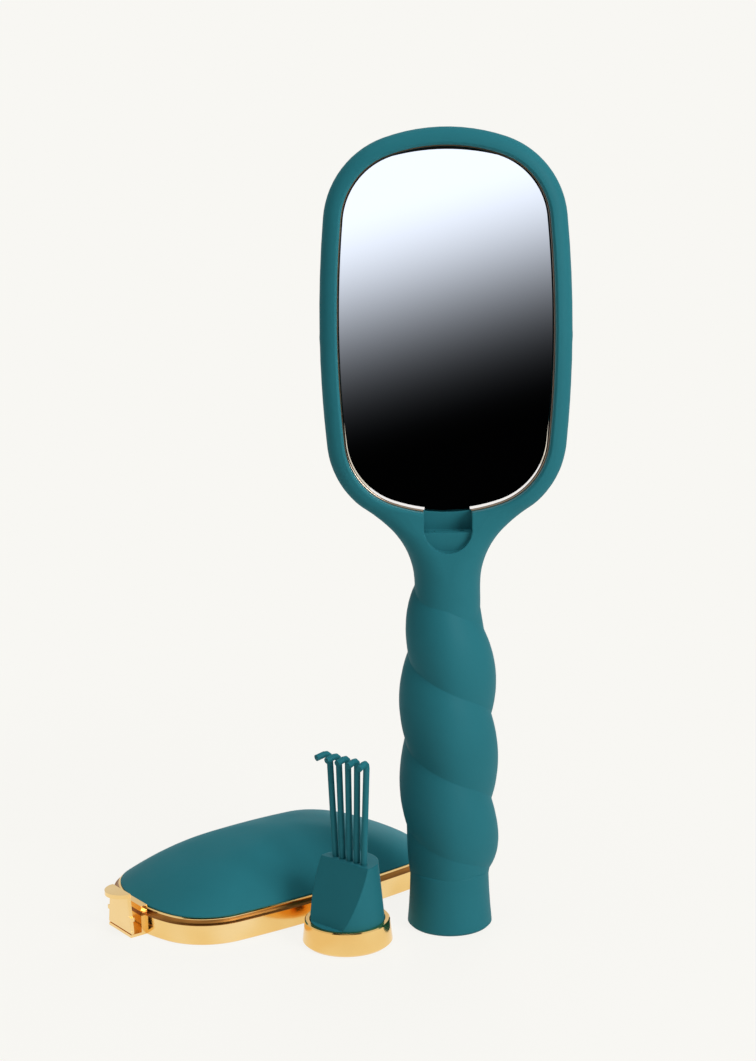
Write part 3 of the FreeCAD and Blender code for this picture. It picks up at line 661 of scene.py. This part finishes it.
@dataclass
class MirrorHandle:
    """The moulded handle with the mirror set into its frame."""

    finishes: Finishes
    edge_inside: float = 0.45 * MM
    edge_outside: float = 0.36 * MM
    edge_slope: float = 0.2
    edge_step: float = 0.4 * MM
    edge_gap: float = 0.02 * MM
    edge_depth: float = 0.15 * MM
    edge_levels: tuple[float, float] = (134.0 * MM, 162.0 * MM)
    latch_half: float = 6.9 * MM

    def build(self) -> None:
        """Dress the handle, the glass, its backing and its bezel, and lay the glass edge."""
        dress("handle_body", self.finishes.teal)
        dress("mirror_backing", self.finishes.backing)
        dress("mirror_glass", self.finishes.mirror)
        # The bezel gets gold darkened nearly to black: painted shade for the dark line round the
        # glass.
        dress("mirror_bezel", self.finishes.bezel_shade_gold)
        self.build_edge()

    def glass_outline(self) -> list[Vector]:
        """Read the outline of the glass's front off its solid.

        Returns:
            The outline's corners in order round the glass.
        """
        mesh = merged_copy("mirror_glass")
        front = min(vert.co.y for vert in mesh.verts)
        level = front + FLAT_TOLERANCE
        flat = [face for face in mesh.faces if max(vert.co.y for vert in face.verts) < level]
        middle = sum((vert.co for face in flat for vert in face.verts), Vector())
        middle /= sum(len(face.verts) for face in flat)
        edge = {
            vert
            for face in flat
            for side in face.edges
            if sum(other in flat for other in side.link_faces) == 1
            for vert in side.verts
        }
        points = [vert.co.copy() for vert in edge]
        mesh.free()
        points.sort(key=lambda co: math.atan2(co.z - middle.z, co.x - middle.x))
        outline = []
        for start, end in zip(points, points[1:] + points[:1]):
            count = max(1, round((end - start).length / self.edge_step))
            outline += [start.lerp(end, step / count) for step in range(count)]
        return outline

    def build_edge(self) -> None:
        """Lay the polished edge along the lower part of the glass, open at the latch."""
        points = self.glass_outline()
        low, high = self.edge_levels
        mesh = bmesh.new()
        outer: dict[bmesh.types.BMVert, Vector] = {}
        before = None
        for index, point in enumerate(points):
            along = points[(index + 1) % len(points)] - points[index - 1]
            out = Vector((along.z, 0, -along.x)).normalized()
            share = min(max((high - point.z) / (high - low), 0.0), 1.0)
            if share == 0.0 or abs(point.x) < self.latch_half:
                before = None
                continue
            width = (self.edge_inside + self.edge_outside) * share
            proud = width * self.edge_slope * (1 + max(-out.x, 0.0) / 2)
            front = point - Vector((0, self.edge_gap, 0))
            inner = mesh.verts.new(front - out * self.edge_inside * share)
            outer[inner] = front + out * self.edge_outside * share - Vector((0, proud, 0))
            if before:
                mesh.edges.new((before, inner))
            before = inner
        for vert in bmesh.ops.extrude_edge_only(mesh, edges=mesh.edges)["geom"]:
            if isinstance(vert, bmesh.types.BMVert):
                ends = [link.other_vert(vert) for link in vert.link_edges]
                vert.co = next(outer[end] for end in ends if end in outer)
        grown = bmesh.ops.extrude_face_region(mesh, geom=mesh.faces[:])["geom"]
        back = [vert for vert in grown if isinstance(vert, bmesh.types.BMVert)]
        bmesh.ops.translate(mesh, verts=back, vec=(0, self.edge_depth, 0))
        bmesh.ops.recalc_face_normals(mesh, faces=mesh.faces)
        made = bpy.data.meshes.new("glass_edge")
        mesh.to_mesh(made)
        mesh.free()
        new_piece("glass_edge", made, self.finishes.glass_edge, Body.HANDLE)


@dataclass
class BristlePad:
    """The gold trim, the rubber cushion and the boar bristle tufts on the far side."""

    finishes: Finishes
    voxel: float = 1.5 * MM
    dimple_radius: float = 2.6 * MM
    dimple_depth: float = 0.5 * MM
    bristles: int = 46
    bristle_radius: float = 0.13 * MM
    root_sink: float = 1.2 * MM
    tip_scatter: float = 0.9 * MM
    tip_taper: float = 0.55
    bristle_sides: int = 4
    root_fill: float = 0.9
    tip_fill: float = 0.94
    crown_depth: float = 4.0 * MM
    ease_factor: float = 0.5
    ease_rounds: int = 6
    cushion_fill: float = 0.8
    seed: int = 11

    def build(self) -> None:
        """Dress the trim, and build the cushion and the tufts in place of their plain solids."""
        dress("cushion_trim", self.finishes.gold)
        tufts = self.tuft_places()
        self.build_cushion([root for root, _, _, _ in tufts])
        self.build_tufts(tufts)

    def tuft_places(self) -> list[tuple[Vector, Vector, float, float]]:
        """Read each tuft's root, tip and end radii off its solid.

        Returns:
            Root centre, tip centre, root radius and tip radius of each tuft.
        """
        mesh = merged_copy("boar_tufts")
        found = []
        for group in islands(mesh):
            low = min(vert.co.y for vert in group)
            high = max(vert.co.y for vert in group)
            middle = (low + high) / 2
            roots = [vert.co for vert in group if vert.co.y < middle]
            tips = [vert.co for vert in group if vert.co.y >= middle]
            root = sum(roots, Vector()) / len(roots)
            tip = sum(tips, Vector()) / len(tips)
            root.y, tip.y = low, high
            root_radius = max((co - root).xz.length for co in roots)
            tip_radius = max((co - tip).xz.length for co in tips)
            found.append((root, tip, root_radius, tip_radius))
        mesh.free()
        return found

    def build_cushion(self, roots: list[Vector]) -> None:
        """Build the crowned cushion, drawn down a little round each tuft.

        Args:
            roots: the tufts' root centres.
        """
        joined = merged_copy("bristle_cushion")
        mesh = bpy.data.meshes.new("bristle_cushion_pad")
        joined.to_mesh(mesh)
        joined.free()
        piece = new_piece(
            "bristle_cushion_pad", mesh, self.finishes.rubber, Body.HANDLE
        )
        fine = piece.modifiers.new("fine", "REMESH")
        fine.mode = "VOXEL"
        fine.voxel_size = self.voxel
        ease = piece.modifiers.new("ease", "SMOOTH")
        ease.factor, ease.iterations = self.ease_factor, self.ease_rounds
        solid = bpy.data.meshes.new_from_object(
            piece.evaluated_get(bpy.context.evaluated_depsgraph_get())
        )
        piece.modifiers.clear()
        shaped = bmesh.new()
        shaped.from_mesh(solid)
        top = max(vert.co.y for vert in shaped.verts)
        for vert in shaped.verts:
            if vert.co.y < top - self.crown_depth:
                continue
            near = min((vert.co - root).xz.length for root in roots)
            if near < self.dimple_radius:
                share = 1 - (near / self.dimple_radius) ** 2
                vert.co.y -= self.dimple_depth * share * share
        shaped.to_mesh(mesh)
        shaped.free()
        bpy.data.meshes.remove(solid)
        for face in mesh.polygons:
            face.use_smooth = True
        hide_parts("bristle_cushion")

    def build_tufts(self, tufts: list[tuple[Vector, Vector, float, float]]) -> None:
        """Build every bristle of every tuft as a thin tapered hair.

        Args:
            tufts: the tufts' roots, tips and end radii.
        """
        chance = random.Random(self.seed)
        mesh = bmesh.new()
        for root, tip, root_radius, tip_radius in tufts:
            for _ in range(self.bristles):
                turn = chance.uniform(0, math.tau)
                out = math.sqrt(chance.random())
                side = Vector((math.cos(turn), 0, math.sin(turn))) * out
                start = root + side * root_radius * self.root_fill
                start.y -= self.root_sink
                end = tip + side * tip_radius * self.tip_fill
                end.y -= chance.uniform(0, self.tip_scatter)
                self.add_bristle(mesh, start, end)
        made = bpy.data.meshes.new("boar_bristles")
        mesh.to_mesh(made)
        mesh.free()
        piece = new_piece(
            "boar_bristles", made, self.finishes.hair, Body.HANDLE
        )
        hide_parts("boar_tufts")

    def add_bristle(self, mesh: bmesh.types.BMesh, start: Vector, end: Vector) -> None:
        """Add one tapered bristle between two points.

        Args:
            mesh: the mesh to add to.
            start: the root.
            end: the tip.
        """
        along = end - start
        turn = along.to_track_quat("Z", "Y").to_matrix().to_4x4()
        bmesh.ops.create_cone(
            mesh,
            cap_ends=True,
            cap_tris=True,
            segments=self.bristle_sides,
            radius1=self.bristle_radius,
            radius2=self.bristle_radius * self.tip_taper,
            depth=along.length,
            matrix=Matrix.Translation((start + end) / 2) @ turn,
        )


@dataclass
class DomedCover:
    """The cover with its gold rim, its satin dome and its sprung latch."""

    finishes: Finishes

    def build(self) -> None:
        """Dress the rim, the dome and the latch."""
        # The rim's gold carries painted shade in its cove.
        dress("cover_rim", self.finishes.cove_shaded_gold)
        # The dome gets the lighter copy of the teal: painted light.
        dress("cover_dome", self.finishes.cover_lit_teal)
        dress("cover_latch", self.finishes.gold)


@dataclass
class CleaningRake:
    """The hooked rake on its gold cap."""

    finishes: Finishes

    def build(self) -> None:
        """Dress the cap, the cone and the tines."""
        dress("cap_ring", self.finishes.gold)
        dress("rake_cone", self.finishes.teal)
        dress("rake_tines", self.finishes.teal)


@dataclass(frozen=True)
class Lamp:
    """A soft rectangular studio lamp."""

    name: str
    place: tuple[float, float, float]
    size: tuple[float, float]
    power: float
    in_metal: bool = True
    target: tuple[float, float, float] = (0, 0, 0.12)

    def build(self) -> None:
        """Hang the lamp and turn it to its target."""
        light = bpy.data.lights.new(self.name, "AREA")
        light.shape = "RECTANGLE"
        light.size, light.size_y = self.size
        light.energy = self.power
        lamp = bpy.data.objects.new(self.name, light)
        bpy.context.scene.collection.objects.link(lamp)
        lamp.location = self.place
        look = Vector(self.target) - Vector(self.place)
        lamp.rotation_euler = look.to_track_quat("-Z", "Y").to_euler()
        lamp.visible_glossy = self.in_metal


@dataclass
class Studio:
    """Floor, background, lamps, the card that the mirror faces, and the camera."""

    floor_half: float = 6.0
    floor_gap: float = 0.05 * MM
    floor_roughness: float = 0.9
    ambient: float = 0.15
    ambient_colour: tuple[float, float, float] = (1.0, 0.99, 0.975)
    mirrored: float = 0.75
    shadow_share: float = 0.09
    shadow_reach: tuple[float, float] = (0.10, 0.40)
    focal_pixels: float = 1800.0
    camera_place: tuple[float, float, float] = (-21.35 * MM, -548.18 * MM, 227.07 * MM)
    camera_pitch: float = 10.2466
    camera_roll: float = 0.8
    card_y: float = -0.70
    card_x: tuple[float, float] = (-0.16, 0.24)
    card_top: float = 0.42
    card_black: float = 0.0525
    card_white: float = 0.2350
    card_lean: float = 0.28
    card_levels: tuple[float, float] = (0.041, 1.075)
    card_power: float = 2.4
    card_colour: tuple[float, float, float] = (0.83, 0.885, 1.0)
    flag_half: float = 0.5
    flag_place: tuple[float, float, float] = (-0.05, 0.05, 1.0)
    flag_colour: tuple[float, float, float] = (0.02, 0.02, 0.02)
    clip_range: tuple[float, float] = (0.01, 50.0)
    lamps: tuple[Lamp, ...] = (
        Lamp("key_lamp", (0.86, -0.80, 0.66), (0.7, 0.7), 12.0),
        Lamp("top_lamp", (-0.05, -0.05, 0.95), (0.8, 0.8), 4.8, in_metal=False),
        Lamp("back_lamp", (0.25, 1.25, 0.40), (0.8, 0.8), 10.0, in_metal=False),
    )

    def build(self) -> None:
        """Set up everything round the object."""
        scene = bpy.context.scene
        scene.view_settings.view_transform = "Standard"
        self.build_world()
        self.build_floor()
        self.build_card()
        self.build_flag()
        for lamp in self.lamps:
            lamp.build()
        self.build_camera()
        LOG.info("set up the studio")

    def seen_directly(
        self, tree: bpy.types.NodeTree, mirrored: float = 1.0
    ) -> bpy.types.NodeSocket:
        """A value of 1 for rays that show the background as it is.

        Args:
            tree: the node tree to add to.
            mirrored: the value for rays that a mirror or a metal sends back.

        Returns:
            1 for camera and glass rays, the given value for mirror rays, 0 for the rest.
        """
        path = tree.nodes.new("ShaderNodeLightPath")
        total = path.outputs["Is Camera Ray"]
        for name, most in (("Is Glossy Ray", mirrored), ("Is Transmission Ray", 1.0)):
            weaker = tree.nodes.new("ShaderNodeMath")
            weaker.operation = "MULTIPLY"
            weaker.inputs[1].default_value = most
            tree.links.new(path.outputs[name], weaker.inputs[0])
            node = tree.nodes.new("ShaderNodeMath")
            node.operation = "MAXIMUM"
            tree.links.new(total, node.inputs[0])
            tree.links.new(weaker.outputs["Value"], node.inputs[1])
            total = node.outputs["Value"]
        return total

    def build_world(self) -> None:
        """Make the pale background and its soft ambient light."""
        world = bpy.data.worlds.new("studio")
        bpy.context.scene.world = world
        world.use_nodes = True
        tree = world.node_tree
        shown = tree.nodes["Background"]
        shown.inputs["Color"].default_value = (*BACKGROUND, 1.0)
        shown.inputs["Strength"].default_value = 1.0
        light = tree.nodes.new("ShaderNodeBackground")
        light.inputs["Color"].default_value = (*self.ambient_colour, 1.0)
        light.inputs["Strength"].default_value = self.ambient
        mix = tree.nodes.new("ShaderNodeMixShader")
        tree.links.new(self.seen_directly(tree, self.mirrored), mix.inputs["Fac"])
        tree.links.new(light.outputs["Background"], mix.inputs[1])
        tree.links.new(shown.outputs["Background"], mix.inputs[2])
        tree.links.new(mix.outputs["Shader"], tree.nodes["World Output"].inputs["Surface"])

    def build_floor(self) -> None:
        """Lay the pale floor, which keeps a soft shadow."""
        mesh = bmesh.new()
        bmesh.ops.create_grid(mesh, x_segments=1, y_segments=1, size=self.floor_half)
        bmesh.ops.translate(mesh, verts=mesh.verts, vec=(0, 0, -self.floor_gap))
        floor = self.stage_piece("studio_floor", mesh)
        material = bpy.data.materials.new("pale_floor")
        material.use_nodes = True
        tree = material.node_tree
        cloth = tree.nodes["Principled BSDF"]
        cloth.inputs["Base Color"].default_value = (*BACKGROUND, 1.0)
        cloth.inputs["Roughness"].default_value = self.floor_roughness
        cloth.inputs["Specular IOR Level"].default_value = 0.0
        glow = tree.nodes.new("ShaderNodeEmission")
        glow.inputs["Color"].default_value = (*BACKGROUND, 1.0)
        far = tree.nodes.new("ShaderNodeVectorMath")
        far.operation = "LENGTH"
        tree.links.new(
            tree.nodes.new("ShaderNodeTexCoord").outputs["Object"], far.inputs[0]
        )
        plain = tree.nodes.new("ShaderNodeMapRange")
        plain.interpolation_type = "SMOOTHSTEP"
        plain.inputs["From Min"].default_value = self.shadow_reach[0]
        plain.inputs["From Max"].default_value = self.shadow_reach[1]
        plain.inputs["To Min"].default_value = 1.0 - self.shadow_share
        tree.links.new(far.outputs["Value"], plain.inputs["Value"])
        share = tree.nodes.new("ShaderNodeMath")
        share.operation = "MULTIPLY"
        tree.links.new(plain.outputs["Result"], share.inputs[1])
        tree.links.new(self.seen_directly(tree), share.inputs[0])
        mix = tree.nodes.new("ShaderNodeMixShader")
        tree.links.new(share.outputs["Value"], mix.inputs["Fac"])
        tree.links.new(cloth.outputs["BSDF"], mix.inputs[1])
        tree.links.new(glow.outputs["Emission"], mix.inputs[2])
        tree.links.new(mix.outputs["Shader"], tree.nodes["Material Output"].inputs["Surface"])
        floor.data.materials.append(material)

    def build_card(self) -> None:
        """Stand the graded card behind the camera, which only the mirror and the metal see."""
        mesh = bmesh.new()
        bmesh.ops.create_grid(mesh, x_segments=1, y_segments=1, size=0.5)
        width = self.card_x[1] - self.card_x[0]
        bmesh.ops.scale(mesh, verts=mesh.verts, vec=(width, self.card_top, 1))
        bmesh.ops.rotate(mesh, verts=mesh.verts, matrix=Matrix.Rotation(math.pi / 2, 3, "X"))
        middle = (sum(self.card_x) / 2, self.card_y, self.card_top / 2)
        bmesh.ops.translate(mesh, verts=mesh.verts, vec=middle)
        card = self.stage_piece("graded_card", mesh)
        card.visible_camera = False
        card.visible_diffuse = False
        card.visible_shadow = False
        card.visible_transmission = False
        sketch = Sketch("graded_card")
        lean = sketch.add("ShaderNodeMath", operation="MULTIPLY_ADD")
        lean.inputs[1].default_value = -self.card_lean
        sketch.join(sketch.along("X"), lean.inputs[0])
        sketch.join(sketch.along("Z"), lean.inputs[2])
        level = sketch.add("ShaderNodeMapRange", interpolation_type="SMOOTHSTEP")
        level.inputs["From Min"].default_value = self.card_black
        level.inputs["From Max"].default_value = self.card_white
        sketch.join(lean.outputs["Value"], level.inputs["Value"])
        level.inputs["To Min"].default_value = self.card_levels[0]
        level.inputs["To Max"].default_value = self.card_levels[1]
        curve = sketch.add("ShaderNodeMath", operation="POWER")
        curve.inputs[1].default_value = self.card_power
        sketch.join(level.outputs["Result"], curve.inputs[0])
        glow = sketch.add("ShaderNodeEmission")
        glow.inputs["Color"].default_value = (*self.card_colour, 1.0)
        sketch.join(curve.outputs["Value"], glow.inputs["Strength"])
        sketch.tree.nodes.remove(sketch.shader)
        sketch.join(
            glow.outputs["Emission"], sketch.tree.nodes["Material Output"].inputs["Surface"]
        )
        card.data.materials.append(sketch.material)

    def build_flag(self) -> None:
        """Hang the dark flag over the set, so that no light falls straight down."""
        mesh = bmesh.new()
        bmesh.ops.create_grid(mesh, x_segments=1, y_segments=1, size=self.flag_half)
        bmesh.ops.translate(mesh, verts=mesh.verts, vec=self.flag_place)
        flag = self.stage_piece("dark_flag", mesh)
        flag.visible_camera = False
        material = bpy.data.materials.new("dark_flag")
        material.use_nodes = True
        felt = material.node_tree.nodes["Principled BSDF"]
        felt.inputs["Base Color"].default_value = (*self.flag_colour, 1.0)
        felt.inputs["Roughness"].default_value = 1.0
        felt.inputs["Specular IOR Level"].default_value = 0.0
        flag.data.materials.append(material)

    def stage_piece(self, name: str, shape: bmesh.types.BMesh) -> bpy.types.Object:
        """Put a mesh into the scene as part of the studio.

        Args:
            name: the object's name.
            shape: its mesh, freed afterwards.

        Returns:
            The new object.
        """
        mesh = bpy.data.meshes.new(name)
        shape.to_mesh(mesh)
        shape.free()
        piece = bpy.data.objects.new(name, mesh)
        bpy.context.scene.collection.objects.link(piece)
        return piece

    def build_camera(self) -> None:
        """Set the camera at the photograph's viewpoint."""
        data = bpy.data.cameras.new("photo_camera")
        data.sensor_width = 36.0
        data.lens = data.sensor_width * self.focal_pixels / max(PHOTO_WIDTH, PHOTO_HEIGHT)
        data.clip_start, data.clip_end = self.clip_range
        camera = bpy.data.objects.new("photo_camera", data)
        bpy.context.scene.collection.objects.link(camera)
        tilt = Matrix.Rotation(math.radians(90 - self.camera_pitch), 4, "X")
        roll = Matrix.Rotation(math.radians(-self.camera_roll), 4, "Z")
        camera.matrix_world = Matrix.Translation(self.camera_place) @ tilt @ roll
        bpy.context.scene.camera = camera


def make_finishes() -> Finishes:
    """Make every finish of the set.

    Returns:
        The finished materials.
    """
    return Finishes(
        teal=SatinLacquer().make(),
        # The same teal lacquer made about a tenth lighter: painted light on the cover's dome.
        cover_lit_teal=SatinLacquer("cover_lit_satin_lacquer", (0.0200, 0.165, 0.199)).make(),
        gold=GoldPlating().make(),
        # Gold with painted shade in the rim's cove.
        cove_shaded_gold=GoldPlating("cove_shaded_gold_plating", cove=COVE_LEVELS).make(),
        # Gold darkened nearly to black for the bezel: painted shade for the dark line round the
        # glass.
        bezel_shade_gold=GoldPlating(
            "shade_darkened_gold_plating",
            colour=(0.20, 0.115, 0.055),
            deep=(0.13, 0.07, 0.03),
            pale=(0.29, 0.18, 0.10),
            roughness=0.3,
        ).make(),
        mirror=SilveredGlass().make(),
        glass_edge=SilveredGlass("polished_glass_edge", (0.92, 0.84, 0.72)).make(),
        backing=BackingFoam().make(),
        rubber=PadRubber().make(),
        hair=BoarHair().make(),
    )


def main() -> None:
    """Build the set piece by piece."""
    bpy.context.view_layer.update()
    finishes = make_finishes()
    for group in (MirrorHandle, BristlePad, DomedCover, CleaningRake):
        group(finishes).build()
        LOG.info("finished %s", group.__name__)
    Studio().build()


if __name__ == "__main__":
    main()
